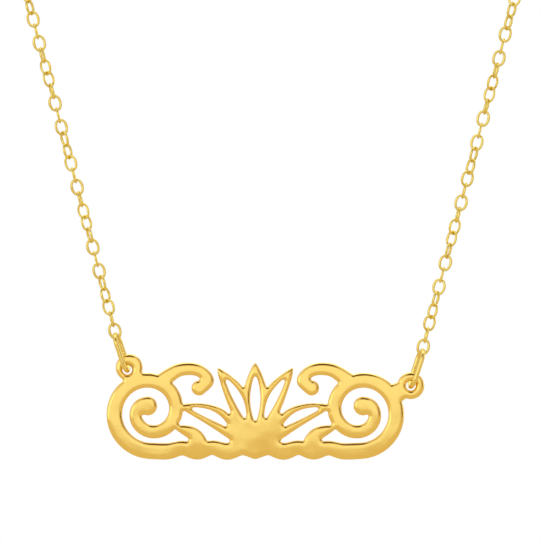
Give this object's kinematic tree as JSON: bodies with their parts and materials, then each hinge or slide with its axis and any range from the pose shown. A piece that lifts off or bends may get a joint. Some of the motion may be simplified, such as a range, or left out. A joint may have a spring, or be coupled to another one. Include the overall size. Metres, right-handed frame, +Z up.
{
  "type": "nameplate necklace",
  "caption": "Yellow-gold necklace: a pierced scrollwork plate hung by its ears and oval jump rings on a fine cable chain, closed by a plain ring clasp at the nape.",
  "frame": {"origin": "the nape: the middle of the clasp at the back of the loop, where the necklace lies on the wearer's neck", "axes": "+Z up as worn, -Y towards the front of the wearer, +X to the viewer's right as seen from the front"},
  "size_m": [0.0878, 0.0658, 0.1362],
  "materials": {
    "plate_gold": "polished yellow gold",
    "chain_gold": "polished yellow gold wire"
  },
  "bodies": {
    "loop": {"chain_left": "chain_gold", "chain_right": "chain_gold", "clasp": "chain_gold"},
    "pendant": {"nameplate": "plate_gold", "jump_ring_left": "chain_gold", "jump_ring_right": "chain_gold"}
  },
  "joints": [
    {"name": "pendant_swing", "type": "hinge", "parent": "loop", "child": "pendant", "pos_m": [-0.00027, -0.06255, -0.11918], "axis": [0.9986, 0, -0.0525], "range_deg": [-45, 45]}
  ]
}
